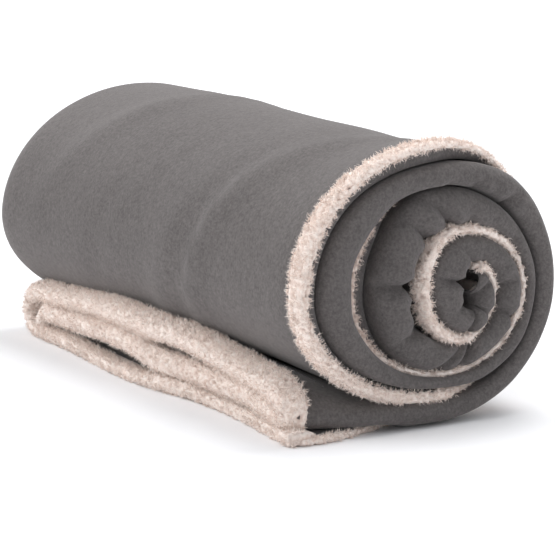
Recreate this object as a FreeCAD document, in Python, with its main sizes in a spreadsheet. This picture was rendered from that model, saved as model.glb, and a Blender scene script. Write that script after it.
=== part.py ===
import FreeCAD, Part
import math
import os

from FreeCAD import Vector

# A two-ply throw blanket, folded in four along its width, rolled up and lying on its side.
# X runs along the roll towards the end where both long borders show, the free tail points
# to -Y, and Z = 0 is the surface that the roll lies on.  Every ply keeps its own thickness
# round every fold, so the solids are the two cloths, their four borders and their seams.

SIZES = (
    ("strip_width", "381", "width of the folded strip, a quarter of the blanket's width"),
    ("laid_length", "1231", "length of the strip along the roll and tail, borders included"),
    ("fleece_thickness", "1.0", "brushed fleece face cloth, pressed"),
    ("sherpa_thickness", "2.1", "sherpa backing, pile pressed flat"),
    ("layer_gap", "0.3", "air between neighbouring cloths"),
    ("turn_clearance", "0.5", "air between turns under the core, where the roll's weight lies"),
    ("top_slack", "10", "extra air between turns above the core"),
    ("side_slack", "9", "how much longer each turn's flat runs are than the turn's within"),
    ("core_bend", "29.5", "height of the first half turn, between middles of the stack"),
    ("least_tail", "60", "shortest tail that is left lying flat"),
    ("border_width", "12", "width of the sherpa border along every edge"),
    ("border_recess", "8", "how far the long borders lie back from the folded edge"),
    ("thread_diameter", "0.8", "row of thread that holds a border"),
)


def make_sheet(doc):
    """The driving sizes, in millimetres, one alias to each."""
    sheet = doc.addObject("Spreadsheet::Sheet", "sizes")
    for row, (alias, value, meaning) in enumerate(SIZES, start=1):
        sheet.set(f"A{row}", alias)
        sheet.set(f"B{row}", value)
        sheet.set(f"C{row}", meaning)
        sheet.setAlias(f"B{row}", alias)
    doc.recompute()
    return sheet


class Stack:
    """Levels across the four plies, measured outwards from the middle of the stack.

    From the outside in, the plies are fleece and sherpa, sherpa and fleece, fleece and
    sherpa, sherpa and fleece, so each level is used on both sides of the middle.
    """

    def __init__(self, sheet):
        self.gap = float(sheet.layer_gap)
        self.fleece = float(sheet.fleece_thickness)
        self.sherpa = float(sheet.sherpa_thickness)
        self.ply = self.fleece + self.gap + self.sherpa
        self.half = self.gap / 2 + 2 * self.ply + self.gap
        self.inner_ply = self.gap / 2 + self.ply / 2
        self.outer_ply = self.half - self.ply / 2
        self.inner_fleece = self.gap / 2 + self.fleece / 2
        self.outer_fleece = self.half - self.fleece / 2
        self.inner_sherpa = self.inner_ply + (self.ply - self.sherpa) / 2
        self.outer_sherpa = self.outer_ply - (self.ply - self.sherpa) / 2


class Edges:
    """Places along X: the closed far fold, the near fold and the two long borders."""

    def __init__(self, sheet, stack):
        width = float(sheet.strip_width)
        near_fold_radius = (stack.outer_ply - stack.inner_ply) / 2 + stack.ply / 2
        self.far_bend = -width / 2 + stack.half
        self.near_bend = width / 2 - near_fold_radius
        self.border_end = width / 2 - float(sheet.border_recess)
        self.border_start = self.border_end - float(sheet.border_width)
        self.seam_width = float(sheet.thread_diameter) + 2 * stack.gap
        self.seam_middle = self.border_start - self.seam_width / 2
        self.cloth_end = self.border_start - self.seam_width


class Roll:
    """How the strip winds outwards from the core, over the top towards +Y first."""

    def __init__(self, sheet, stack, seam_width):
        self.side_slack = float(sheet.side_slack)
        self.bottom_pitch = 2 * stack.half + float(sheet.turn_clearance)
        self.top_pitch = self.bottom_pitch + float(sheet.top_slack)
        self.cloth_length = float(sheet.laid_length) - 2 * (float(sheet.border_width) + seam_width)
        self.heights = [float(sheet.core_bend)]
        self.tail_run = self.cloth_length - self.length_of_turn(0)
        self.add_turns(float(sheet.least_tail))
        self.turns = len(self.heights) // 2

    def length_of_turn(self, turn):
        """Length of the flat runs and half turns of a whole turn, or of the first bend."""
        bends = math.pi / 2 * sum(self.heights[-2:])
        return bends + 2 * turn * self.side_slack

    def add_turns(self, least_tail):
        """Wind whole turns while they leave the tail that is wanted."""
        while True:
            left_height = self.heights[-1] + self.top_pitch
            self.heights += [left_height, left_height + self.bottom_pitch]
            length = self.length_of_turn(len(self.heights) // 2)
            if self.tail_run - length < least_tail:
                del self.heights[-2:]
                return
            self.tail_run -= length

    def left_middle(self, turn):
        """The -Y half turns of this turn are about this Y, and the +Y ones about Y = 0."""
        return -turn * self.side_slack


def half_turn(centre, radius, side):
    """A half turn from top to bottom on the +Y side, or from bottom to top on the -Y side."""
    up = Vector(0, 0, side * radius)
    out = Vector(0, side * radius, 0)
    return Part.Arc(centre + up, centre + out, centre - up).toShape(), centre + up, centre - up


def roll_path(roll, stack):
    """The middle of the stack from the core to the tail: tangent half turns and flat runs."""
    bottom = stack.half + roll.turns * roll.bottom_pitch
    centre = Vector(0, 0, bottom + roll.heights[0] / 2)
    curve, start, at = half_turn(centre, roll.heights[0] / 2, 1)
    edges = [curve]
    for turn in range(1, roll.turns + 1):
        left_height, right_height = roll.heights[2 * turn - 1 : 2 * turn + 1]
        for middle, height, side in (
            (roll.left_middle(turn), left_height, -1),
            (0, right_height, 1),
        ):
            if side > 0:
                bottom -= roll.bottom_pitch
            centre = Vector(0, middle, bottom + height / 2)
            curve, near_end, far_end = half_turn(centre, height / 2, side)
            edges.append(Part.LineSegment(at, near_end).toShape())
            edges.append(curve)
            at = far_end
    tail_end = at - Vector(0, roll.tail_run, 0)
    edges.append(Part.LineSegment(at, tail_end).toShape())
    return Part.Wire(edges), start, tail_end


def bend(centre_x, middle_level, from_level, to_level, side):
    """A half circle in the section, from one level to another, bulging to side (+1 or -1)."""
    radius = abs(to_level - from_level) / 2
    middle = Vector(centre_x + side * radius, 0, middle_level)
    return Part.Arc(Vector(centre_x, 0, from_level), middle, Vector(centre_x, 0, to_level))


def run(level, from_x, to_x):
    return Part.LineSegment(Vector(from_x, 0, level), Vector(to_x, 0, level))


def folded_line(edges, outer, inner, offset, hem):
    """A line through a cloth folded in four, offset to one side of the cloth's middle.

    It starts at the hem of the outermost ply, goes round the far bend to the innermost
    ply, round the near bend to the next, and round the far bend again to the other hem.
    """
    near_middle = -(outer + inner) / 2
    first = outer + offset
    last = inner - offset
    return [
        run(first, hem, edges.far_bend),
        bend(edges.far_bend, 0, first, -first, -1),
        run(-first, edges.far_bend, edges.near_bend),
        bend(edges.near_bend, near_middle, -first, -last, 1),
        run(-last, edges.near_bend, edges.far_bend),
        bend(edges.far_bend, 0, -last, last, -1),
        run(last, edges.far_bend, hem),
    ]


def folded_section(edges, outer, inner, thickness, hem):
    """Closed outline of a cloth folded in four, with the levels of its middle given."""
    half = thickness / 2
    curves = folded_line(edges, outer, inner, half, hem)
    curves += folded_line(edges, outer, inner, -half, hem)
    for level in (outer, inner):
        low = Vector(hem, 0, level - half)
        high = Vector(hem, 0, level + half)
        curves.append(Part.LineSegment(low, high))
    shapes = [curve.toShape() for curve in curves]
    return Part.Wire(Part.__sortEdges__(shapes))


def border_section(edges, level, stack):
    """Section of a long border: a band as thick as the ply that it finishes."""
    low = level - stack.ply / 2
    high = level + stack.ply / 2
    corners = [
        Vector(edges.border_start, 0, low),
        Vector(edges.border_end, 0, low),
        Vector(edges.border_end, 0, high),
        Vector(edges.border_start, 0, high),
    ]
    return Part.makePolygon(corners + corners[:1])


def thread_section(diameter, edges, level, direction):
    centre = Vector(edges.seam_middle, 0, level)
    return Part.Wire(Part.makeCircle(diameter / 2, centre, direction))


def add_curve(doc, name, shape, place, turn=FreeCAD.Rotation()):
    """A construction curve, drawn about the middle of the stack and moved to its place."""
    curve = doc.addObject("Part::Feature", name)
    curve.Shape = shape
    curve.Placement = FreeCAD.Placement(place, turn)
    return curve


def add_sweep(doc, label, section, spine):
    """A cloth, border or seam: its section carried along a path."""
    sweep = doc.addObject("Part::Sweep", label)
    sweep.Label = label
    sweep.Sections = [section]
    sweep.Spine = (spine, [f"Edge{number + 1}" for number in range(len(spine.Shape.Edges))])
    sweep.Solid = True
    sweep.Frenet = False
    return sweep


def add_cloths(doc, stack, edges, spine, start):
    """The two cloths, rolled together."""
    cloths = []
    for label, outer, inner, thickness in (
        ("face_fleece", stack.outer_fleece, stack.inner_fleece, stack.fleece),
        ("sherpa_backing", stack.outer_sherpa, stack.inner_sherpa, stack.sherpa),
    ):
        outline = folded_section(edges, outer, inner, thickness, edges.cloth_end)
        section = add_curve(doc, f"{label}_section", outline, start)
        cloths.append(add_sweep(doc, label, section, spine))
    return cloths


def add_long_edges(doc, sheet, stack, edges, spine, start):
    """The borders and seams of the two long edges, which lie on the two outer plies."""
    diameter = float(sheet.thread_diameter)
    pieces = []
    for side, level in (("outer", stack.outer_ply), ("inner", stack.inner_ply)):
        for kind, outline in (
            ("border", border_section(edges, level, stack)),
            ("seam", thread_section(diameter, edges, level, Vector(0, 1, 0))),
        ):
            label = f"long_{kind}_{side}"
            section = add_curve(doc, f"{label}_section", outline, start)
            pieces.append(add_sweep(doc, label, section, spine))
    return pieces


def add_end_edge(doc, sheet, stack, edges, name, end, turn):
    """The border and seam across one end of the strip, both on the -Y side of it."""
    outline = folded_section(edges, stack.outer_ply, stack.inner_ply, stack.ply, edges.border_end)
    section = add_curve(doc, f"{name}_border_section", outline, end, turn)
    border = doc.addObject("Part::Extrusion", f"{name}_border")
    border.Label = f"{name}_border"
    border.Base = section
    border.DirMode = "Custom"
    border.Dir = Vector(0, -1, 0)
    border.Solid = True
    border.setExpression("LengthFwd", "sizes.border_width")
    border.Placement = FreeCAD.Placement(Vector(0, -edges.seam_width, 0), FreeCAD.Rotation())

    seam_place = end - Vector(0, edges.seam_width / 2, 0)
    line = folded_line(edges, stack.outer_ply, stack.inner_ply, 0, edges.seam_middle)
    wire = Part.Wire([curve.toShape() for curve in line])
    path = add_curve(doc, f"{name}_seam_path", wire, seam_place, turn)
    outline = thread_section(
        float(sheet.thread_diameter), edges, stack.outer_ply, Vector(1, 0, 0)
    )
    section = add_curve(doc, f"{name}_seam_section", outline, seam_place, turn)
    return [border, add_sweep(doc, f"{name}_seam", section, path)]


def check_and_export(doc, subparts):
    for obj in doc.Objects:
        if "Invalid" in obj.State or "Error" in obj.State:
            raise RuntimeError(f"{obj.Name} failed: {obj.State}")
    for obj in subparts:
        if obj.Shape.isNull() or not obj.Shape.isValid():
            raise RuntimeError(f"{obj.Label} has no valid shape")
        if len(obj.Shape.Solids) != 1 or obj.Shape.Volume <= 0:
            raise RuntimeError(f"{obj.Label} is not one solid")
    os.makedirs("parts", exist_ok=True)
    for obj in subparts:
        obj.Shape.exportStep(f"parts/{obj.Label}.step")
        print(f"{obj.Label}: {obj.Shape.Volume / 1000:.1f} cm3")


def main():
    doc = FreeCAD.newDocument("rolled_throw_blanket")
    sheet = make_sheet(doc)
    stack = Stack(sheet)
    edges = Edges(sheet, stack)
    roll = Roll(sheet, stack, edges.seam_width)

    # The roll is drawn with its +Y half turns about Y = 0, then moved so that the origin
    # is under the middle of the whole object.
    wire, first_point, tail_end = roll_path(roll, stack)
    tail_reach = roll.tail_run + edges.seam_width + float(sheet.border_width)
    back_reach = roll.heights[-1] / 2 + stack.half
    side_reach = back_reach
    if roll.turns:
        side_reach = roll.heights[-2] / 2 + stack.half - roll.left_middle(roll.turns)
    centre_shift = Vector(0, (max(tail_reach, side_reach) - back_reach) / 2, 0)
    spine = add_curve(doc, "roll_path", wire, centre_shift)
    start = first_point + centre_shift
    finish = tail_end + centre_shift

    # At the core the strip runs towards +Y with its outermost ply on top.  At the tail it
    # runs towards -Y with that ply underneath, so the section is turned over.
    upright = FreeCAD.Rotation()
    turned_over = FreeCAD.Rotation(Vector(1, 0, 0), 180)
    subparts = add_cloths(doc, stack, edges, spine, start)
    subparts += add_long_edges(doc, sheet, stack, edges, spine, start)
    subparts += add_end_edge(doc, sheet, stack, edges, "core", start, upright)
    subparts += add_end_edge(doc, sheet, stack, edges, "tail", finish, turned_over)

    doc.recompute()
    check_and_export(doc, subparts)
    heights = ", ".join(f"{height:.1f}" for height in roll.heights)
    print(f"half turns {heights}; tail {tail_reach:.1f} mm past Y {centre_shift.y:.1f}")


main()
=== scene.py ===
"""A two-ply throw blanket: brushed grey fleece on curly cream sherpa, folded in four and rolled.

Lengths are millimetres until a mesh is made.  A place on the rolled strip is given by
  quarter  how many quarter turns it lies inwards from where the roll rests on the floor
           (0 floor, 1 right side, 2 top, 3 left side, 4 above the floor strip, and so on;
           the tail has negative quarters),
  depth    how far it lies inwards from the outer face of the folded strip,
  x        how far along the roll it lies.
"""
import math

import bpy
import numpy as np
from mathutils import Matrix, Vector, kdtree


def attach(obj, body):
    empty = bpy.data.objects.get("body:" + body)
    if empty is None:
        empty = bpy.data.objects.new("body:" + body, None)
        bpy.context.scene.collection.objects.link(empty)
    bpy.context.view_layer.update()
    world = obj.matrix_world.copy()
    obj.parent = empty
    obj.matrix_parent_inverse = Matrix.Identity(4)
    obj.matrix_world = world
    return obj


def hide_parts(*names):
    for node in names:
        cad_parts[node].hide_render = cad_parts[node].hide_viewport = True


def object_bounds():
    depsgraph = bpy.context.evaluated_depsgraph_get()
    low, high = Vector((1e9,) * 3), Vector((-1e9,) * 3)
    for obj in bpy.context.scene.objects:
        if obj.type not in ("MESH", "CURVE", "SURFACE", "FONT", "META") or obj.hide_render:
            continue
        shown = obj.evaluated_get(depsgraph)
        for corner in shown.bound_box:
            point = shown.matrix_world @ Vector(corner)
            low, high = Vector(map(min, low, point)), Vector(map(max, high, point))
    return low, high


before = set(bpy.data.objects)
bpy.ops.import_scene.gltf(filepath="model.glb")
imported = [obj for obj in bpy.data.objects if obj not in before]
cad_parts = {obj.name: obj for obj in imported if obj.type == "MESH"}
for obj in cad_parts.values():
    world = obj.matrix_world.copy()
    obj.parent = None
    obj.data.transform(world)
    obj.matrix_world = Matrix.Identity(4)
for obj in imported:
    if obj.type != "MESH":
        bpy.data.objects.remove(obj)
cad_low, cad_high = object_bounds()

MM = 0.001
HALF = cad_high.x / MM                       # the folded edge of the strip
ROLL_REACH = 92.0                            # from the roll's middle to the box's +Y side
MIDDLE = cad_high.y / MM - ROLL_REACH        # Y of the roll's middle

# ---------------------------------------------------------------- the roll's winding
# The outermost points of each turn's outer face, from the middle of the roll and the floor.
TURNS = (
    # bottom      right         top         left
    ((6, 0), (89, 77), (4.5, 160.5), (-87.5, 81)),
    ((6, 15), (74, 75), (8, 136.5), (-52, 80)),
    ((10, 28), (66, 75), (20, 113), (-7, 79)),
    ((22, 47), (46, 71), (33, 91), (22, 77)),
    ((27, 65), (30, 69), (28, 74), (26, 70)),
)
CORE_END = 14.0                              # quarter where the strip's inner end lies
TAIL_LENGTH = 91.0                           # from the roll's lowest point to the cloth's end
TAIL_HEIGHT = 38.0                           # the loose plies' height at the tail's end
SLIT = 10.0                                  # the gap between the tail's second and third plies
FAR_BULGE = 12.0                             # how far the outermost turn's closed end swells
FAR_LEAN = 0.09                              # how far the roll's far end leans over, as a slope
LEAN_HEIGHT = 80.0                           # the height that the lean leaves in place
TAIL_SET_BACK = 17.0                         # how far the tail's closed end lies back from that
AIR = 0.5                                    # between one turn and the next
LOWEST = 0.2                                 # the cloth's least height above the floor
LOCK_LOWEST = 0.15                           # the same, of loose locks of pile
FLOOR_GAP = 0.1                              # the same, of every point of every piece
TAIL_SOFTENING = 3.0                         # rounds off where the tail's top meets the roll
TURNING = math.pi / 2
TAIL_RATE = (TURNS[0][1][0] - TURNS[0][0][0]) * TURNING     # mm of tail to a quarter
TAIL_END = -TAIL_LENGTH / TAIL_RATE

# How the two long hems and the fold between them lie at the near end.
#  quarter, hem's recess, hem's thickness, bare strip, fold's recess, gap inside the fold
NEAR_END = np.array((
    (-0.70, 4, 7, 1.5, 14, 0),
    (-0.55, 5, 7, 1.5, 9, 0),
    (-0.42, 9, 5, 1.5, 5, 0),
    (-0.30, 15, 4, 1.5, 3, 0),
    (-0.15, 22, 1, 0.6, 2, 0),
    (0.5, 22, 1, 0.6, 2, 0),
    (1.4, 22, 1, 0.6, 2, 0),
    (1.6, 17, 1, 3, 0, 0),
    (1.82, 9, 1.3, 7, 0, 0),
    (2.0, 5, 2, 9.5, 0, 0),
    (2.5, 3.5, 4, 8, 0, 0),
    (3.0, 3.2, 5.7, 6.8, 0, 0),
    (3.5, 3.5, 6, 5, 0, 0),
    (4.0, 5, 5, 2, 1, 0),
    (4.25, 12, 3, 1, 1, 0),
    (4.5, 20, 1, 0.6, 2, 0),
    (5.5, 20, 1, 0.6, 1, 0),
    (6.2, 20, 1, 1, 0, 0),
    (6.4, 16, 3, 5, 0, 1),
    (6.6, 13, 4.5, 8, 0, 3),
    (7.0, 13, 5, 10, 1, 5),
    (7.3, 13, 4.5, 8, 1, 7),
    (7.6, 11, 2.5, 4, 2, 4),
    (7.9, 8, 1.6, 1.5, 1, 0),
    (8.5, 6, 1.8, 1, 1, 0),
    (9.0, 5, 2.0, 1, 0, 0),
    (9.6, 5, 2.5, 1.5, 1, 0),
    (10.0, 4, 3, 2, 1, 0),
    (10.5, 3.5, 3.6, 2, 0, 0),
    (11.0, 3, 4, 2, -0.5, 0),
    (11.6, 3, 3.6, 2, 0, 0),
    (12.0, 3, 3, 1.5, 0, 0),
    (12.4, 7, 1.2, 1, 0, 0),
    (13.3, 6, 1.5, 1, 1, 0),
    (14.0, 4, 4, 1, 2, 0),
))

# Creases pressed into the near fold: quarter, share of the fold's thickness where each is
# deepest, its reach in that share, depth, half width, and its slant in mm over the thickness.
CREASES = (
    (1.57, 1.0, 0.5, 7, 4.0, 8),
    (1.80, 1.0, 0.3, 4, 4.0, 0),
    (1.98, 1.0, 0.3, 3, 3.5, 0),
    (2.35, 0.9, 0.4, 1.5, 9.0, 0),
    (3.50, 0.2, 0.5, 1.5, 10.0, 0),
    (5.45, 1.0, 0.5, 3, 5.0, 0),
    (5.90, 1.0, 0.5, 4, 4.5, 0),
    (6.12, 1.0, 0.8, 8, 4.0, -5),
    (6.45, 0.9, 0.8, 8, 4.5, 5),
    (6.97, 0.8, 0.9, 11, 4.0, 3),
    (7.42, 0.9, 0.7, 8, 5.0, -6),
    (7.95, 0.2, 0.7, 6, 4.0, 8),
    (8.16, 0.7, 0.8, 9, 3.5, 8),
    (8.77, 0.5, 1.2, 6, 3.0, 5),
    (9.15, 1.0, 0.6, 7, 4.5, 0),
    (10.2, 1.0, 0.6, 4, 4.0, 0),
    (10.84, 0.9, 0.7, 8, 3.5, 0),
    (11.5, 1.0, 0.6, 4, 4.0, 0),
    (12.15, 0.7, 0.8, 8, 3.0, 4),
    (12.7, 0.8, 0.8, 6, 3.0, 0),
    (13.4, 0.6, 1.0, 4, 4.0, 0),
)

# How the roll swells and sags along its length: x as a share of half the length, then the
# factors on heights and on widths.
ALONG = np.array((
    (-1.1, 1.06, 1.15),
    (-0.85, 1.06, 1.12),
    (-0.6, 1.06, 1.08),
    (-0.15, 1.036, 1.03),
    (0.15, 1.018, 1.005),
    (0.43, 1.008, 0.99),
    (0.71, 0.988, 0.99),
    (0.95, 1.0, 1.0),
))
# How far the tail's end reaches at each x, from its usual place.
TAIL_REACH = np.array((
    (-1.0, 17), (-0.79, 14), (-0.5, 10), (-0.17, 3), (0.08, 1), (0.28, 6), (0.5, 8.5), (0.74, 5), (0.97, 0),
))
# How high the tail's end stands at each x, as a share of TAIL_HEIGHT.
TAIL_RISE = np.array((
    (-1.0, 0.88), (-0.77, 0.92), (-0.5, 1.0), (-0.25, 1.08), (0.05, 1.08), (0.26, 1.04), (0.46, 0.89),
    (0.66, 0.83), (0.78, 0.8), (0.86, 0.7), (0.94, 0.48), (1.0, 0.42),
))


def eased(table, at, column):
    """A table's column between its rows, with no corners at the rows."""
    keys, values = table[:, 0], table[:, column]
    slopes = np.gradient(values, keys)
    i = np.clip(np.searchsorted(keys, at) - 1, 0, len(keys) - 2)
    span = keys[i + 1] - keys[i]
    t = np.clip((at - keys[i]) / span, 0, 1)
    flat_side = (values[i + 1] - values[i]) == 0
    a = np.where(flat_side, 0, slopes[i]) * span
    b = np.where(flat_side, 0, slopes[i + 1]) * span
    return (
        values[i] * (1 + 2 * t) * (1 - t) ** 2
        + a * t * (1 - t) ** 2
        + values[i + 1] * t * t * (3 - 2 * t)
        + b * t * t * (t - 1)
    )


def step(at, low, high):
    """0 below low, 1 above high, and a smooth rise between."""
    t = np.clip((at - low) / (high - low), 0, 1)
    return t * t * (3 - 2 * t)


def winding(quarter):
    """The outer face of the strip, as (y, z), each quarter turn a quarter of an ellipse."""
    ends = np.array([p for turn in TURNS for p in turn], float)
    i = np.clip(np.floor(quarter).astype(int), 0, len(ends) - 2)
    t = (quarter - i) * TURNING
    a, b = ends[i], ends[i + 1]
    upright = i % 2 == 1
    rise, stay = np.sin(t), np.cos(t)
    y = np.where(upright, b[:, 0] + (a[:, 0] - b[:, 0]) * stay, a[:, 0] + (b[:, 0] - a[:, 0]) * rise)
    z = np.where(upright, a[:, 1] + (b[:, 1] - a[:, 1]) * rise, b[:, 1] + (a[:, 1] - b[:, 1]) * stay)
    return np.stack([y, z], 1)


def underside(y):
    """Height of the second turn's outer face above the tail."""
    left, bottom = TURNS[0][3], TURNS[1][0]
    across = np.clip((bottom[0] - y) / (bottom[0] - left[0]), 0, 1)
    return left[1] + (bottom[1] - left[1]) * np.sqrt(1 - across**2)


class Stations:
    """The folded strip at each of some quarters: its faces, its thickness and its near end.

    rim and far are x at the two ends; crease is the depth where the near fold meets the
    bare strip; tail is 0 on the roll and 1 at the tail's end.
    """

    def __init__(self, quarter):
        self.quarter = quarter
        outer, inner = winding(np.maximum(quarter, 0)), winding(np.maximum(quarter, 0) + 4)
        tail = quarter < 0
        y = TURNS[0][0][0] + TAIL_RATE * quarter
        soft = TAIL_SOFTENING
        top = -soft * np.log(np.exp(-underside(y) / soft) + np.exp(-TAIL_HEIGHT / soft))
        outer[tail] = np.stack([y, 0 * y], 1)[tail]
        inner[tail] = np.stack([y, top], 1)[tail]
        across = inner - outer
        self.thick = np.linalg.norm(across, axis=1)
        self.inward = across / self.thick[:, None]
        self.thick = self.thick - AIR
        self.outer = outer + self.inward * AIR / 2
        self.tail = np.clip(quarter / TAIL_END, 0, 1.3)
        sizes = [eased(NEAR_END, quarter, c) for c in range(1, 6)]
        self.hem, self.hem_thick, self.bare, self.fold, self.gap = sizes
        self.rim = HALF - self.hem
        swollen = FAR_BULGE * (1 - step(quarter, 3.0, 5.0))
        self.far = -HALF - swollen + TAIL_SET_BACK * step(-quarter, -0.1, 0.6)
        self.crease = self.hem_thick + self.bare

    def place(self, x, depth):
        """Points in the row's frame for x and depth, one row of them to each station."""
        share = x / HALF
        out = self.outer[:, None, :] + self.inward[:, None, :] * depth[:, :, None]
        y, z = out[:, :, 0], out[:, :, 1]
        reach = eased(TAIL_REACH, share.ravel(), 1).reshape(share.shape)
        y = y + reach * (self.tail[:, None] ** 2)
        rise = eased(TAIL_RISE, share.ravel(), 1).reshape(share.shape)
        z = z * (1 + (rise - 1) * step(self.tail, 0.1, 0.9)[:, None])
        y = y + FAR_LEAN * (z - LEAN_HEIGHT) * step(-share, -0.2, 1.0) * (1 - self.tail[:, None])
        y = y * eased(ALONG, share.ravel(), 2).reshape(share.shape)
        z = z * eased(ALONG, share.ravel(), 1).reshape(share.shape)
        return np.stack([x, MIDDLE + y, np.maximum(z, LOWEST)], 2)


def crease_depth(quarter, depth_share, rate):
    """How far the near fold is pressed back by its creases, each with a soft lip beside it."""
    back = np.zeros(np.broadcast(quarter, depth_share).shape)
    for at, middle, reach, deep, wide, slant in CREASES:
        away = (quarter - at) * rate - slant * (depth_share - middle)
        lip = 0.25 * np.exp(-((np.abs(away) - 2.2 * wide) / wide) ** 2)
        along = np.exp(-np.abs(away) / wide) - lip
        back = back + deep * along * np.exp(-(((depth_share - middle) / reach) ** 2))
    return back


def waves(a, b, seed, count, longest, shortest):
    """Soft random swelling over two coordinates, about -1 to 1."""
    rng = np.random.default_rng(seed)
    total = np.zeros(np.broadcast(a, b).shape)
    for _ in range(count):
        turn, length = rng.uniform(0, 2 * math.pi), rng.uniform(shortest, longest)
        phase = rng.uniform(0, 2 * math.pi)
        total = total + np.sin((a * math.cos(turn) + b * math.sin(turn)) * 2 * math.pi / length + phase)
    return total / math.sqrt(count)


# ---------------------------------------------------------------- the folded cloth
RUNS = {                                     # steps across each stretch of the fold, outside first
    "hem": 4, "outer ply": 34, "far bend": 13, "last ply": 17, "near fold": 18,
    "third ply": 9, "inner bend": 3, "second ply": 9, "bare": 8,
}
HEM_RUN = 15.0                               # how far in from the rim the outer hem's ply bends
BARE_RUN = 16.0                              # how far in the bare strip under the hem starts
CLOTH_SHORT = 1.5                            # how far short of the rim the cloth stops
LEAST_DEPTH = 1.4                            # keeps the second ply inside the outermost one
INNER_BEND_DEPTH = 8.0                       # least depth of the bend between the inner plies

# Diagonal wrinkles of the outermost ply: x, quarter, length, half width, depth and slant.
WRINKLES = (
    (-25, 2.75, 55, 5.0, 1.6, 0.55),
    (-40, 2.9, 60, 9.0, -1.0, 0.55),
    (70, 2.95, 60, 5.5, 2.0, 0.35),
    (56, 2.9, 60, 8.0, -1.2, 0.35),
    (110, 2.3, 70, 9.0, 1.2, 0.5),
    (-95, 2.4, 90, 14.0, 1.2, 0.6),
    (15, 3.3, 70, 12.0, 1.2, 0.4),
)


def steps_before(stretch):
    """How many steps of the fold come before one of its stretches."""
    names = list(RUNS)
    return sum(RUNS[name] for name in names[: names.index(stretch)])


def fold_path(s):
    """x and depth of the fleece's grey face along the folded strip's width, at each station."""
    one = np.ones((len(s.quarter), 1))
    thick, rim, crease = s.thick[:, None], s.rim[:, None], s.crease[:, None]
    hem_thick, gap = s.hem_thick[:, None], s.gap[:, None]
    half_fold = np.maximum((thick - crease - gap) / 2, 1.0)
    bulge = np.clip(1.15 * half_fold, 4.0, 13.0)
    crest = HALF - s.fold[:, None]
    root = crest - bulge
    end = s.far[:, None]
    far = end + np.clip(0.75 * thick, 9, 26)
    parts = []

    def line(steps, x0, d0, x1, d1):
        """Adds a straight stretch without its last point, which the next stretch starts with."""
        t = np.linspace(0, 1, steps, endpoint=False)[None, :]
        parts.append((x0 * one + (x1 - x0) * t, d0 * one + (d1 - d0) * t))

    line(RUNS["hem"], rim - CLOTH_SHORT, 0.35 * hem_thick, rim - HEM_RUN, 0 * one)
    line(RUNS["outer ply"], rim - HEM_RUN, 0 * one, far, 0 * one)
    bend = np.linspace(-math.pi / 2, math.pi / 2, RUNS["far bend"], endpoint=False)[None, :]
    parts.append((far - (far - end) * np.cos(bend) ** 0.9, thick / 2 * (1 + np.sin(bend))))
    t = np.linspace(0, 1, RUNS["last ply"], endpoint=False)[None, :]
    toward_fold = 1 - (1 - t) ** 1.6         # steps are shorter toward the near fold
    parts.append((far + (root - 6 - far) * toward_fold, thick + 0 * t))
    over = np.linspace(math.pi / 2, -math.pi / 2, RUNS["near fold"])[None, :]
    middle = crease + half_fold
    across = middle + half_fold * np.sign(np.sin(over)) * np.abs(np.sin(over)) ** 0.9
    parts.append((root + bulge * np.cos(over) ** 0.8, across))
    low = np.minimum(0.52 * thick, np.maximum(crease + 3, INNER_BEND_DEPTH))
    under_hem = np.maximum(crease - 1.0, LEAST_DEPTH)
    turn = far + 5 * s.tail[:, None]
    line(RUNS["third ply"], root - 3, crease * one, turn + 4, low)
    line(RUNS["inner bend"], turn + 2, low - 0.3, turn + 2, low - 1.2)
    line(RUNS["second ply"], turn + 4, low - 1.5, rim - BARE_RUN, under_hem)
    t = np.linspace(0, 1, RUNS["bare"])[None, :]
    flare = step(t, 0.5, 1.0)
    up_to_rim = 1 - (1 - t) ** 2
    under_rim = np.maximum(0.9 * hem_thick, LEAST_DEPTH)
    across = under_hem - (under_hem - under_rim) * flare
    parts.append((rim - BARE_RUN + (BARE_RUN - CLOTH_SHORT) * up_to_rim, across))
    x = np.concatenate([p[0] for p in parts], 1)
    depth = np.concatenate([p[1] for p in parts], 1)
    return x, parted(s, x, depth)


def parted(s, x, depth):
    """Opens the tail between its second and third plies, most near its closed end."""
    share = x / HALF
    apart = SLIT * (0.4 + 0.6 * np.exp(-(((share + 0.15) / 0.3) ** 2))) * (1 - step(share, 0.02, 0.14))
    apart = apart + 0.6 * SLIT * np.exp(-(((share - 0.62) / 0.12) ** 2))
    apart = apart * step(s.tail, 0.45, 0.95)[:, None]
    third, second = steps_before("third ply"), steps_before("second ply")
    depth[:, third:second] += 0.55 * apart[:, third:second]
    depth[:, second:] -= 0.45 * apart[:, second:]
    return depth


def near_creases(s, x, depth):
    """Presses the near fold back where it creases, less and less away from its crest."""
    rate = (TAIL_RATE * np.clip(1.0 - s.quarter / 18.0, 0.25, 1))[:, None]
    share = np.clip((depth - s.crease[:, None]) / (s.thick - s.crease)[:, None], 0, 1.1)
    back = crease_depth(s.quarter[:, None], share, rate)
    inside = step(depth, s.crease[:, None] - 1.5, s.crease[:, None] + 1.5)
    close = step(x, HALF - 32, HALF - 6)
    puff = (0.2 + step(s.quarter, 1.3, 2.0))[:, None] * waves(s.quarter[:, None] * rate, depth, 5, 7, 60, 22)
    return x - (back - puff) * inside * close


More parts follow.
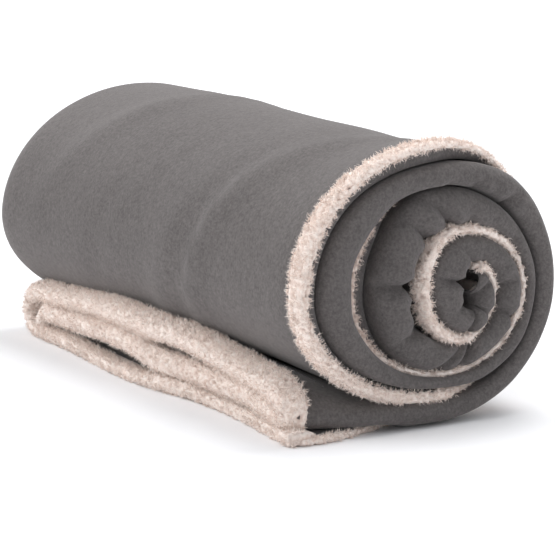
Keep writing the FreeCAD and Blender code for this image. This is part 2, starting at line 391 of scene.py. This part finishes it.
def body_swell(s, x, depth):
    """Soft hollows and diagonal wrinkles of the outermost ply."""
    rate = TAIL_RATE
    along = s.quarter[:, None] * rate
    swell = 0.9 * waves(x, along, 11, 6, 240, 110)
    for at_x, at_quarter, length, wide, deep, slant in WRINKLES:
        run = along - at_quarter * rate
        off = (x - at_x) + slant * run
        swell = swell - 1.7 * deep * np.exp(-((off / wide) ** 2)) * np.exp(-((run / length) ** 2))
    outermost = (step(-s.quarter, -4.6, -4.0) * (0.35 + 0.65 * step(s.quarter, 1.2, 2.0)))[:, None]
    quiet = 1 - step(x, HALF - 40, HALF - 18)
    outer_ply = 1 - step(depth, 0.5, 4.0)
    return depth + swell * outermost * quiet * outer_ply * step(s.quarter, -0.2, 0.4)[:, None]


FINE_QUARTERS = 6000                         # how finely the strip's length is measured


def quarters(count, closer=True):
    """Quarters evenly spaced along the strip, or closer together at the creases."""
    fine = np.linspace(TAIL_END, CORE_END, FINE_QUARTERS)
    s = Stations(fine)
    mean = s.outer + s.inward * s.thick[:, None] / 2
    length = np.concatenate([[0], np.cumsum(np.linalg.norm(np.diff(mean, axis=0), axis=1))])
    weight = np.ones(len(fine))
    if closer:
        for at, *_ in CREASES:               # a quarter is about 60 mm, a crease 9 mm to a side
            weight += 1.3 * np.exp(-(((fine - at) * 60 / 9) ** 2))
    total = np.concatenate([[0], np.cumsum(np.diff(length) * (weight[1:] + weight[:-1]) / 2)])
    return np.interp(np.linspace(0, total[-1], count), total, fine)


def normals(grid):
    """The direction square to a grid of points, at each of them."""
    a, b = np.gradient(grid, axis=0), np.gradient(grid, axis=1)
    n = np.cross(b, a)
    return n / np.maximum(np.linalg.norm(n, axis=2, keepdims=True), 1e-9)


# ---------------------------------------------------------------- making meshes
def link(name, data):
    """A new object in the scene."""
    obj = bpy.data.objects.new(name, data)
    bpy.context.scene.collection.objects.link(obj)
    return obj


def new_mesh(name, points, faces, material):
    """A mesh of points in millimetres; faces is a list of index arrays, one to a face size."""
    mesh = bpy.data.meshes.new(name)
    mesh.vertices.add(len(points))
    points = np.array(points, np.float32)
    points[:, 2] = np.maximum(points[:, 2], FLOOR_GAP)
    mesh.vertices.foreach_set("co", (points * MM).ravel())
    loops = np.concatenate([f.ravel() for f in faces])
    sizes = np.concatenate([np.full(len(f), f.shape[1]) for f in faces])
    mesh.loops.add(len(loops))
    mesh.loops.foreach_set("vertex_index", loops.astype(np.int32))
    mesh.polygons.add(len(sizes))
    starts = np.concatenate([[0], np.cumsum(sizes)[:-1]])
    mesh.polygons.foreach_set("loop_start", starts.astype(np.int32))
    mesh.polygons.foreach_set("use_smooth", np.ones(len(sizes), bool))
    mesh.update(calc_edges=True)
    mesh.validate()
    mesh.materials.append(material)
    return link(name, mesh)


def grid_faces(rows, columns, closed=False):
    """Quads of a grid of points; closed joins the last column to the first."""
    index = np.arange(rows * columns).reshape(rows, columns)
    right = np.roll(index, -1, axis=1) if closed else index[:, 1:]
    left = index if closed else index[:, :-1]
    return np.stack([left[:-1], right[:-1], right[1:], left[1:]], 2).reshape(-1, 4)


def closed_sheet(name, front, back, material):
    """A thin closed sheet between two grids of points."""
    rows, columns = front.shape[:2]
    count = rows * columns
    index = np.arange(count).reshape(rows, columns)
    faces = [grid_faces(rows, columns), grid_faces(rows, columns)[:, ::-1] + count]
    loop = np.concatenate([index[0, :-1], index[:-1, -1], index[-1, :0:-1], index[:0:-1, 0]])
    after = np.roll(loop, -1)
    faces.append(np.stack([after, loop, loop + count, after + count], 1))
    points = np.concatenate([front.reshape(-1, 3), back.reshape(-1, 3)])
    return new_mesh(name, points, [np.concatenate(faces)[:, ::-1]], material)


def rounded(points, count):
    """A smooth closed outline through the middles of a loop of points, for all stations."""
    loop = points
    for _ in range(3):
        after = np.roll(loop, -1, axis=1)
        loop = np.stack([0.75 * loop + 0.25 * after, 0.25 * loop + 0.75 * after], 2)
        loop = loop.reshape(points.shape[0], -1, points.shape[2])
    after = np.roll(loop, -1, axis=1)
    gaps = np.linalg.norm(after - loop, axis=2).mean(0)
    run = np.concatenate([[0], np.cumsum(gaps)])
    wanted = np.linspace(0, run[-1], count, endpoint=False)
    i = np.clip(np.searchsorted(run, wanted, side="right") - 1, 0, loop.shape[1] - 1)
    t = ((wanted - run[i]) / gaps[i])[None, :, None]
    return loop[:, i] * (1 - t) + after[:, i] * t


# ---------------------------------------------------------------- sherpa pile
CLUMP = 2.3                                  # width of a curl of pile
CURL_HEIGHT = 1.25
FIBRE = 0.34                                 # width of a lock of fibre
LOCK_SHADE_ALONG = (0.15, 0.15, 0.6, 0.6, 1.0)     # painted shade along a lock: dark at its root, pale at its tip


def outward(rings):
    """The outward direction at each point of a closed band, and the area that it stands for."""
    along = np.gradient(rings, axis=0)
    around = (np.roll(rings, -1, axis=1) - np.roll(rings, 1, axis=1)) / 2
    n = np.cross(around, along)
    n /= np.maximum(np.linalg.norm(n, axis=2, keepdims=True), 1e-9)
    centre = rings.mean(axis=1, keepdims=True)
    if ((rings - centre) * n).sum() < 0:
        n = -n
    return n, np.linalg.norm(along, axis=2) * np.linalg.norm(around, axis=2)


def lumps(points, seeds):
    """How far each point stands up, from 1 at a curl's middle to -1 well away from any."""
    tree = kdtree.KDTree(len(seeds))
    for i, p in enumerate(seeds):
        tree.insert(p, i)
    tree.balance()
    lift = np.empty(len(points))
    for i, p in enumerate(points):
        lift[i] = 1 - (tree.find(p)[2] / (0.75 * CLUMP)) ** 2
    return np.clip(lift, -1.0, 1.0)


def give_tone_and_shade(obj, values):
    """Stores the pile's tone, darkened as painted shade where the pile lies deep, which its material reads,
    on each point.
    """
    height = obj.data.attributes.new("pile_height", "FLOAT", "POINT")
    height.data.foreach_set("value", np.ravel(values).astype(np.float32))


def loose_locks(name, roots, up, painted_shade, strands, rng, material):
    """Curved, pointed locks of fibre, a few from each root."""
    lean = rng.normal(0, 1, roots.shape)
    lean -= up * (lean * up).sum(1, keepdims=True)
    lean /= np.linalg.norm(lean, axis=1, keepdims=True)
    count = len(roots) * strands
    rep = np.repeat(np.arange(len(roots)), strands)
    up, lean = up[rep], lean[rep]
    spread = rng.normal(0, 0.75, (count, 3))
    spread -= up * (spread * up).sum(1, keepdims=True)
    start = roots[rep] + spread + up * (0.55 * CURL_HEIGHT)
    aim = up * rng.uniform(0.35, 1.0, (count, 1)) + lean * 0.55 + rng.normal(0, 0.4, (count, 3))
    aim /= np.linalg.norm(aim, axis=1, keepdims=True)
    length = rng.uniform(1.5, 3.8, (count, 1))
    curl = np.cross(aim, lean) * rng.uniform(-1, 1, (count, 1)) + lean * 0.4
    middle = start + aim * length * 0.5 + curl * 0.25 * length
    tip = start + aim * length * 0.95 - curl * 0.35 * length
    side = np.cross(aim, rng.normal(0, 1, (count, 3)))
    side /= np.maximum(np.linalg.norm(side, axis=1, keepdims=True), 1e-9)
    wide = FIBRE * rng.uniform(0.7, 1.3, (count, 1))
    corners = np.stack([
        start - side * wide / 2, start + side * wide / 2,
        middle - side * wide / 2, middle + side * wide / 2, tip,
    ], 1).reshape(-1, 3)
    corners[:, 2] = np.maximum(corners[:, 2], LOCK_LOWEST)
    first = np.arange(count) * 5
    quads = np.stack([first, first + 1, first + 3, first + 2], 1)
    tips = np.stack([first + 2, first + 3, first + 4], 1)
    locks = new_mesh(name, corners, [quads, tips], material)
    # each lock's tone differs at random; where its ring lies recessed it is darkened as painted shade, and
    # toward its root it is painted darker still as shade
    bright = rng.uniform(0.75, 1.1, (count, 1)) * (1 - painted_shade[rep])[:, None]
    give_tone_and_shade(locks, np.repeat(bright, 5, 1) * np.array([LOCK_SHADE_ALONG]))
    return locks


def pile(name, rings, shown, material, strands, seed, painted_shade=None):
    """A band of curly pile: the lumpy base from rings of points, and loose locks on it.

    shown is 1 where the pile can be seen, and the last argument is how far each ring's pile is darkened as
    painted shade.
    """
    rng = np.random.default_rng(seed)
    rows, columns = rings.shape[:2]
    painted_shade = np.zeros(rows) if painted_shade is None else painted_shade
    n, area = outward(rings)
    picked = np.argwhere(rng.random((rows, columns)) < area / CLUMP**2 * 1.25)
    seeds = rings[picked[:, 0], picked[:, 1]] + rng.normal(0, 0.35, (len(picked), 3))
    points = rings.reshape(-1, 3)
    lift = lumps(points, seeds)
    lumpy = points + n.reshape(-1, 3) * ((lift * CURL_HEIGHT) * shown.reshape(-1))[:, None]
    lumpy[:, 2] = np.maximum(lumpy[:, 2], LOWEST)
    caps = [np.arange(columns)[None, ::-1], np.arange(columns)[None, :] + (rows - 1) * columns]
    base = new_mesh(name + "_band", lumpy, [grid_faces(rows, columns, closed=True)] + caps, material)
    # painted shade: the base is darker in the hollows between curls, and darker still where its ring lies
    # recessed
    give_tone_and_shade(base, (0.38 + 0.42 * lift) * (1 - np.repeat(painted_shade, columns)))
    seen = picked[shown[picked[:, 0], picked[:, 1]] > 0.5]
    roots = seeds[shown[picked[:, 0], picked[:, 1]] > 0.5]
    up = n[seen[:, 0], seen[:, 1]]
    locks = loose_locks(name + "_pile", roots, up, painted_shade[seen[:, 0]], strands, rng, material)
    return base, locks


# ---------------------------------------------------------------- materials
def give(made, **inputs):
    """Sets a node's inputs; an underscore stands for a space in an input's name."""
    for key, value in inputs.items():
        made.inputs[key.replace("_", " ")].default_value = value
    return made


def node(tree, kind, **inputs):
    """A new node with its inputs set."""
    return give(tree.nodes.new(kind), **inputs)


def noise(tree, scale, detail, roughness=0.5):
    """A noise texture in the object's own space."""
    made = node(tree, "ShaderNodeTexNoise", Scale=scale, Detail=detail, Roughness=roughness)
    where = tree.nodes.new("ShaderNodeTexCoord")
    tree.links.new(where.outputs["Object"], made.inputs["Vector"])
    return made.outputs["Fac"]


def bumped(tree, height, strength, distance, onto=None):
    """A normal bumped by a height in 0 to 1, distance metres high, on top of another normal."""
    made = node(tree, "ShaderNodeBump", Strength=strength, Distance=distance)
    tree.links.new(height, made.inputs["Height"])
    if onto is not None:
        tree.links.new(onto, made.inputs["Normal"])
    return made.outputs["Normal"]


def new_material(name):
    """A node material, its tree and its shader."""
    material = bpy.data.materials.new(name)
    material.use_nodes = True
    tree = material.node_tree
    return material, tree, tree.nodes["Principled BSDF"]


def ramp(tree, source, stops):
    """A colour ramp from a value, its stops given as position and colour."""
    made = tree.nodes.new("ShaderNodeValToRGB")
    band = made.color_ramp.elements
    while len(band) < len(stops):
        band.new(0.5)
    for element, (place, colour) in zip(band, stops):
        element.position = place
        element.color = (*colour, 1)
    tree.links.new(source, made.inputs["Fac"])
    return made.outputs["Color"]


def mixed(tree, a, b, factor, how="MIX"):
    """Two colours mixed by a constant factor."""
    made = tree.nodes.new("ShaderNodeMix")
    made.data_type = "RGBA"
    made.blend_type = how
    made.inputs[0].default_value = factor
    tree.links.new(a, made.inputs[6])
    tree.links.new(b, made.inputs[7])
    return made.outputs[2]


def fleece_material():
    """Brushed fleece: a short grey nap, finely mottled, with a soft sheen."""
    material, tree, shader = new_material("brushed_fleece")
    nap = noise(tree, 620.0, 3.0, 0.75)
    mottle = noise(tree, 260.0, 4.0, 0.65)
    patches = noise(tree, 28.0, 3.0)
    fine = ramp(tree, nap, ((0.36, (0.055, 0.050, 0.049)), (0.64, (0.196, 0.178, 0.174))))
    middling = ramp(tree, mottle, ((0.36, (0.080, 0.073, 0.071)), (0.64, (0.147, 0.134, 0.131))))
    broad = ramp(tree, patches, ((0.3, (0.105, 0.096, 0.094)), (0.7, (0.126, 0.115, 0.112))))
    colour = mixed(tree, mixed(tree, fine, middling, 0.5), broad, 0.35)
    tree.links.new(colour, shader.inputs["Base Color"])
    give(shader, Roughness=0.95, Specular_IOR_Level=0.15)
    give(shader, Sheen_Weight=0.22, Sheen_Roughness=0.45, Sheen_Tint=(0.9, 0.87, 0.86, 1))
    coarse = bumped(tree, mottle, 0.5, 0.0008)
    tree.links.new(bumped(tree, nap, 0.5, 0.0003, onto=coarse), shader.inputs["Normal"])
    return material


def sherpa_material(name, deep, mid, tip):
    """Curly pile, pale at the curls' tips, with painted shade making it warm and dark between the curls and
    at the locks' roots.
    """
    material, tree, shader = new_material(name)
    height = tree.nodes.new("ShaderNodeAttribute")
    height.attribute_name = "pile_height"
    curls = noise(tree, 480.0, 4.0, 0.6)
    patches = noise(tree, 45.0, 2.0)
    # painted shade: low values of the attribute, in hollows, at roots and on recessed hems, take the dark,
    # warm deep colour
    base = ramp(tree, height.outputs["Fac"], ((0.0, deep), (0.42, mid), (0.85, tip)))
    mottled = ramp(tree, curls, ((0.36, deep), (0.5, mid), (0.62, tip)))
    broad = ramp(tree, patches, ((0.35, mid), (0.65, tip)))
    colour = mixed(tree, mixed(tree, base, mottled, 0.3), broad, 0.12)
    tree.links.new(colour, shader.inputs["Base Color"])
    give(shader, Roughness=0.85, Specular_IOR_Level=0.2, Sheen_Weight=0.3, Sheen_Roughness=0.4)
    tree.links.new(bumped(tree, curls, 0.7, 0.0009), shader.inputs["Normal"])
    return material


def thread_material():
    """Spun grey polyester thread."""
    material, tree, shader = new_material("sewing_thread")
    twist = noise(tree, 2500.0, 2.0)
    colour = ramp(tree, twist, ((0.3, (0.10, 0.09, 0.09)), (0.7, (0.22, 0.20, 0.20))))
    tree.links.new(colour, shader.inputs["Base Color"])
    give(shader, Roughness=0.55)
    tree.links.new(bumped(tree, twist, 0.4, 0.0002), shader.inputs["Normal"])
    return material


FLEECE = fleece_material()
# deep is the colour of painted shade in the pile; mid and tip are the cream pile's own colours
SHERPA = sherpa_material(
    "sherpa_pile", deep=(0.50, 0.36, 0.30), mid=(0.91, 0.77, 0.695), tip=(1.0, 0.935, 0.88))
THREAD = thread_material()

# ---------------------------------------------------------------- the two cloths
STRIP_STEPS = 430                            # steps along the strip from the tail to the core
FLEECE_THICK, SHERPA_THICK = 1.0, 2.1
SHERPA_GAP = 0.4                             # between the two cloths
SHERPA_SET_BACK = 12.0                       # keeps the backing behind the near fold's creases
LEAST_COVER = 1.3                            # of the outermost plies over the backing


def fleece_face(s):
    """The fleece's grey face at each station, and the direction outward from it."""
    x, depth = fold_path(s)
    x = near_creases(s, x, depth)
    face = s.place(x, body_swell(s, x, depth))
    out = normals(face)
    outer_ply = slice(RUNS["hem"] + 5, RUNS["hem"] + 20)
    top_row = np.argmin(np.abs(s.quarter - 2))
    return face, out if out[top_row, outer_ply, 2].mean() >= 0 else -out


def sherpa_faces(s, *distances):
    """The strip's face moved inward by each distance, but never out through its outermost plies."""
    x, depth = fold_path(s)
    crease = s.crease[:, None]
    x = x - SHERPA_SET_BACK * step(x, HALF - 40, HALF - 8) * step(depth, crease - 2, crease)
    swell = body_swell(s, x, depth) - depth
    run_x, run_depth = np.gradient(x, axis=1), np.gradient(depth, axis=1)
    run = np.maximum(np.hypot(run_x, run_depth), 1e-6)
    faces = []
    for distance in distances:
        level = np.clip(depth - run_x / run * distance, LEAST_COVER, s.thick[:, None] - LEAST_COVER)
        faces.append(s.place(x + run_depth / run * distance, level + swell)[:, 4:-4])
    return faces


stations = Stations(quarters(STRIP_STEPS))
face, out_of_face = fleece_face(stations)
fleece = closed_sheet("fleece_cloth", face, face - out_of_face * FLEECE_THICK, FLEECE)

under = Stations(stations.quarter[3:STRIP_STEPS - 3:2])
sherpa_depth = FLEECE_THICK + SHERPA_GAP
sherpa_sides = sherpa_faces(under, sherpa_depth, sherpa_depth + SHERPA_THICK)
sherpa = closed_sheet("sherpa_cloth", *sherpa_sides, SHERPA)
give_tone_and_shade(sherpa, np.full(len(sherpa.data.vertices), 0.45))

# ---------------------------------------------------------------- the long borders
BORDER_STEPS = 1150                          # steps along the strip
BORDER_WIDTH = 10.5
BORDER_STRANDS = 8                           # loose locks to a curl
PROUD = 1.0                                  # how far the outer hem's pile stands over the fleece
FULL_HEM = 5.0                               # the thickness of a hem with nothing pressed flat
border_stations = Stations(quarters(BORDER_STEPS, closer=False))

# Outlines of the two hems: x from the rim, depth, and share of the hem's thickness added to
# the depth.
OUTER_HEM = (
    (-BORDER_WIDTH - 0.5, 0.8, 0), (-BORDER_WIDTH + 1.0, -PROUD, 0), (-8, -PROUD - 0.3, 0),
    (-3, -PROUD, 0), (-0.4, -0.3, 0.1), (0.3, 0, 0.35), (-0.2, 0, 0.55), (-4, 0, 0.5), (-9, 1.2, 0.1),
)
INNER_HEM = (
    (-4.0, 0.2, 0.5), (0.0, 0, 0.5), (0.2, 0, 0.7), (-0.4, 0.1, 0.85), (-2.0, 0.3, 0.92), (-4.5, 0, 0.8),
)


def along_hem(s, outline, count):
    """Rings of count points round a hem, as places and as x and depth on the strip."""
    least = 0.7 - 0.45 * step(s.quarter, 1.8, 3.0)
    full = np.clip(s.hem_thick / FULL_HEM, least, 1.0)
    points = np.array([[s.rim + dx, dd * full + s.hem_thick * share] for dx, dd, share in outline])
    loops = rounded(np.transpose(points, (2, 0, 1)), count)
    return s.place(loops[:, :, 0], loops[:, :, 1]), loops


def long_border(name, outline, count, visible_share, back_hidden, seed):
    """The border along a long edge, its pile left out where the turns outside it hide it.

    Pile deeper than visible_share of the hem's thickness is left out, and with back_hidden
    so is that behind the rim.
    """
    s = border_stations
    rings, loops = along_hem(s, outline, count)
    hidden = loops[:, :, 1] > visible_share * s.hem_thick[:, None]
    if back_hidden:
        hidden |= (loops[:, :, 0] < (s.rim - 2.5)[:, None]) & (loops[:, :, 1] > 0.6)
    buried = step(s.hem, 17, 20) * step(s.quarter, 3.0, 4.0)
    shown = np.where(hidden, 0.0, 1.0) * (1 - buried)[:, None]
    # painted shade: hems that lie deep in the roll's end, from the second turn inward, are darkened
    painted_shade = 0.45 * step(s.hem, 9, 14) * step(s.quarter, 4, 5)
    return pile(name, rings, shown, SHERPA, BORDER_STRANDS, seed, painted_shade)


borders = [
    long_border("long_border_outer", OUTER_HEM, 26, 0.62, True, seed=31),
    long_border("long_border_inner", INNER_HEM, 14, 2.0, False, seed=32),
]


# ---------------------------------------------------------------- the tail's and core's ends
PRESSED_HALF = 4.0                           # half the thickness below which ends lie pressed
BAND_LOWEST = 0.8                            # an end's band's least height above the floor
EVERY_PLY = slice(None)
OUTSIDE_PLIES = slice(0, steps_before("near fold") - 2)


def per_run(first, last, third, second):
    """A value for each step of the folded path, from those of the four plies."""
    ends = {
        "hem": (first, first), "outer ply": (first, first), "far bend": (first, last),
        "last ply": (last, last), "near fold": (last, third), "third ply": (third, third),
        "inner bend": (third, second), "second ply": (second, second), "bare": (second, second),
    }
    return np.concatenate([np.linspace(*ends[k], steps) for k, steps in RUNS.items()])


def refine(values, count, run):
    """The rows of values at count places evenly spaced along run, their distance so far."""
    wanted = np.linspace(0, run[-1], count)
    return np.stack([np.interp(wanted, run, values[:, c]) for c in range(values.shape[1])], 1)


def band_outline(half, wrap, nose):
    """A border's outline at each point of an end: how far out, and how far above the face."""
    one = np.ones(len(half))
    proud = np.clip(wrap / 8, 0.05, 1.0)
    pressed = half < PRESSED_HALF            # thin plies' ends lie pressed together
    back = np.where(pressed, 1.0, 0.2)
    lower = np.where(pressed, 1.0, 0.85)
    return (
        (-wrap - 1, -0.8 * proud), (-wrap + 1.5, 1.2 * proud), (-0.5 * wrap, 1.5 * proud),
        (0 * one, proud), (0.7 * nose * one, -0.2 * half), (nose * one, -0.75 * half),
        (nose * lower, -1.45 * half), (nose * back, -1.95 * half), (-2 * one, -2.05 * half),
        (-8 * one, -2.0 * half), (-9 * one, -1.2 * half), (-6 * one, -0.8 * half),
    )


def end_band(name, row, outward_from_end, halves, wraps, nose, count, steps, seed, strands, used):
    """The border round one end of the strip, following every ply and fold.

    row is the fleece's row at that end and used the part of it that has a border.  halves
    are half the bound thickness of the outermost, last, third and second plies, and wraps
    how far the band covers their faces.  nose is how far it stands out past the cloth.
    """
    path, up = face[row][used], out_of_face[row][used]
    half, wrap = per_run(*halves)[used], per_run(*wraps)[used]
    table = np.concatenate([path, up, half[:, None], wrap[:, None]], 1)
    gaps = np.linalg.norm(np.diff(path, axis=0), axis=1)
    fine = refine(table, count, np.concatenate([[0], np.cumsum(gaps)]))
    path, up, half, wrap = fine[:, :3], fine[:, 3:6], fine[:, 6], fine[:, 7]
    up /= np.maximum(np.linalg.norm(up, axis=1, keepdims=True), 1e-9)
    out = outward_from_end - up * (up @ outward_from_end)[:, None]
    out /= np.linalg.norm(out, axis=1, keepdims=True)
    outline = band_outline(half, wrap, nose)
    points = np.stack([path + out * a[:, None] + up * b[:, None] for a, b in outline], 1)
    rings = rounded(points, steps)
    rings[:, :, 2] = np.maximum(rings[:, :, 2], BAND_LOWEST)
    deep = ((rings - path[:, None]) * out[:, None]).sum(2)
    above = ((rings - path[:, None]) * up[:, None]).sum(2)
    shown = np.where((deep < -1.5) & (above < -0.5), 0.0, 1.0)
    return pile(name, rings, shown, SHERPA, strands, seed)


TAIL_OUT = np.array([0.0, -1, 0])
core_out = np.array([0.0, *(face[-1] - face[-3])[steps_before("far bend") + 2, 1:]])
core_out /= np.linalg.norm(core_out)
borders += [
    end_band(
        "tail_border", 0, TAIL_OUT, halves=(3.0, 5.4, 6.0, 3.0), wraps=(10, 11, 0.3, 0.3),
        nose=7.5, count=1450, steps=34, seed=33, strands=6, used=EVERY_PLY),
    end_band(
        "core_border", -1, core_out, halves=(1.4, 1.6, 1.6, 1.4), wraps=(6, 4, 1, 1),
        nose=1.2, count=600, steps=24, seed=34, strands=4, used=OUTSIDE_PLIES),
]


# ---------------------------------------------------------------- stitching
STITCH, STITCH_SPACE = 3.4, 1.4
THREAD_RADIUS = 0.4
RINGS, SIDES = 5, 6                          # of a stitch's tube


def stitches(name, points, up):
    """A row of short stitches along a line, each a bowed thread sunk at both ends."""
    gaps = np.linalg.norm(np.diff(points, axis=0), axis=1)
    run = np.concatenate([[0], np.cumsum(gaps)])
    starts = np.arange(0, run[-1] - STITCH, STITCH + STITCH_SPACE)
    along = np.linspace(0, 1, RINGS)
    turns = np.linspace(0, 2 * math.pi, SIDES, endpoint=False)
    radius = THREAD_RADIUS * np.sin(math.pi * (0.12 + 0.76 * along))
    at = starts[:, None] + along[None, :] * STITCH
    centre = np.stack([np.interp(at, run, points[:, c]) for c in range(3)], 2)
    above = np.stack([np.interp(at, run, up[:, c]) for c in range(3)], 2)
    above /= np.linalg.norm(above, axis=2, keepdims=True)
    ahead = centre[:, -1:] - centre[:, :1]
    ahead /= np.linalg.norm(ahead, axis=2, keepdims=True)
    side = np.cross(np.broadcast_to(ahead, above.shape), above)
    centre = centre + above * (0.3 * np.sin(math.pi * along) - 0.1)[None, :, None]
    round_thread = (
        side[:, :, None] * np.cos(turns)[:, None] + above[:, :, None] * np.sin(turns)[:, None])
    ring = centre[:, :, None] + radius[None, :, None, None] * round_thread
    offset = np.arange(len(starts))[:, None, None] * RINGS * SIDES
    quads = (grid_faces(RINGS, SIDES, closed=True)[None] + offset).reshape(-1, 4)
    caps = np.array([np.arange(SIDES)[::-1], np.arange(SIDES) + (RINGS - 1) * SIDES])
    return new_mesh(
        name + "_stitches", ring.reshape(-1, 3), [quads, (caps[None] + offset).reshape(-1, SIDES)], THREAD)


def long_seam(name, inset, depth, side):
    """The stitching beside a long border, inset from its rim, on the strip's outside or inside."""
    s = stations
    line = s.place((s.rim - inset)[:, None], depth[:, None])[:, 0]
    up = np.concatenate([np.zeros((len(line), 1)), side * s.inward], 1)
    return stitches(name, line[3:-3], up[3:-3])


def end_seam(name, row):
    """The stitching beside an end's border, over the outermost plies."""
    faces = slice(steps_before("outer ply"), steps_before("near fold"))
    return stitches(name, face[row][faces], out_of_face[row][faces])


inner_depth = stations.hem_thick * 0.86 + 0.3 * stations.bare
seams = [
    long_seam("long_seam_outer", BORDER_WIDTH + 2.2, -0.1 + 0 * stations.rim, side=-1),
    long_seam("long_seam_inner", 6.4, inner_depth, side=1),
    end_seam("tail_seam", 8),
    end_seam("core_seam", -8),
]

# ---------------------------------------------------------------- what each piece is
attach(fleece, "root")
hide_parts("face_fleece")
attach(sherpa, "root")
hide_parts("sherpa_backing")
for base, locks in borders:
    for piece in (base, locks):
        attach(piece, "root")
    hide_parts(base.name.removesuffix("_band"))
for seam in seams:
    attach(seam, "root")
    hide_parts(seam.name.removesuffix("_stitches"))

# ---------------------------------------------------------------- floor, light and camera
SPAN = 40.0                                  # half the paper's side, metres
GLOW_FROM, GLOW_TO, GLOW = 1.0, 2.2, 0.45    # metres from the blanket, and strength far off
AZIMUTH, ELEVATION, DISTANCE = 58.99, 9.89, 1.263
FOCUS, IMAGE_SIDE, SENSOR = 2000, 555, 36.0
TARGET = Vector((0.0150, MIDDLE * MM + 0.0021, 0.0600))


def aim(obj, place, direction):
    """Puts a lamp or camera at a place, looking along a direction."""
    obj.location = place
    obj.rotation_mode = "QUATERNION"
    obj.rotation_quaternion = direction.to_track_quat("-Z", "Y")


def white_floor():
    """White paper that glows far off, as if lit by lamps that stand outside the picture."""
    mesh = bpy.data.meshes.new("floor")
    corners = [(-SPAN, -SPAN, 0), (SPAN, -SPAN, 0), (SPAN, SPAN, 0), (-SPAN, SPAN, 0)]
    mesh.from_pydata(corners, [], [(0, 1, 2, 3)])
    paper, tree, shader = new_material("white_paper")
    mesh.materials.append(paper)
    give(shader, Base_Color=(0.93, 0.932, 0.945, 1), Roughness=1.0, Specular_IOR_Level=0.0)
    away = tree.nodes.new("ShaderNodeVectorMath")
    away.operation = "LENGTH"
    where = tree.nodes.new("ShaderNodeTexCoord")
    tree.links.new(where.outputs["Object"], away.inputs[0])
    glow = node(tree, "ShaderNodeMapRange", From_Min=GLOW_FROM, From_Max=GLOW_TO, To_Min=0.0, To_Max=GLOW)
    tree.links.new(away.outputs["Value"], glow.inputs["Value"])
    give(shader, Emission_Color=(1, 1, 1, 1))
    tree.links.new(glow.outputs["Result"], shader.inputs["Emission Strength"])
    return link("floor", mesh)


def studio_world():
    """Even white light, dimmer from overhead and from the roll's near end."""
    world = bpy.data.worlds.new("studio")
    world.use_nodes = True
    tree = world.node_tree
    toward = tree.nodes.new("ShaderNodeSeparateXYZ")
    where = tree.nodes.new("ShaderNodeTexCoord")
    tree.links.new(where.outputs["Generated"], toward.inputs[0])
    around = ramp(tree, toward.outputs["X"], ((0.5, (1.0, 1.0, 1.0)), (1.0, (0.3, 0.305, 0.32))))
    overhead = ramp(tree, toward.outputs["Z"], ((0.3, (1.0, 1.0, 1.0)), (0.75, (0.62, 0.63, 0.65))))
    background = tree.nodes["Background"]
    tree.links.new(mixed(tree, around, overhead, 1.0, "MULTIPLY"), background.inputs["Color"])
    give(background, Strength=1.1)
    return world


def softbox(name, place, size, power):
    """A round soft lamp, size metres across, that shines on the blanket."""
    light = bpy.data.lights.new(name, "AREA")
    light.shape = "DISK"
    light.size = size
    light.energy = power
    blanket = Vector((0, 0, 0.08))
    aim(link(name, light), place, blanket - Vector(place))


def front_camera():
    """The camera, looking at the roll's near end and the tail from a little above."""
    camera = link("camera", bpy.data.cameras.new("camera"))
    a, e = math.radians(AZIMUTH), math.radians(ELEVATION)
    back = Vector((math.sin(a) * math.cos(e), -math.cos(a) * math.cos(e), math.sin(e)))
    aim(camera, TARGET + back * DISTANCE, -back)
    camera.data.sensor_width = SENSOR
    camera.data.lens = SENSOR * FOCUS / IMAGE_SIDE
    camera.data.clip_end = 200
    return camera


white_floor()
scene = bpy.context.scene
scene.world = studio_world()
softbox("key_left", (-0.6, -1.3, 1.4), 1.3, 12)
softbox("top", (-0.1, 0.7, 1.9), 1.2, 26)
scene.camera = front_camera()
scene.view_settings.view_transform = "Standard"
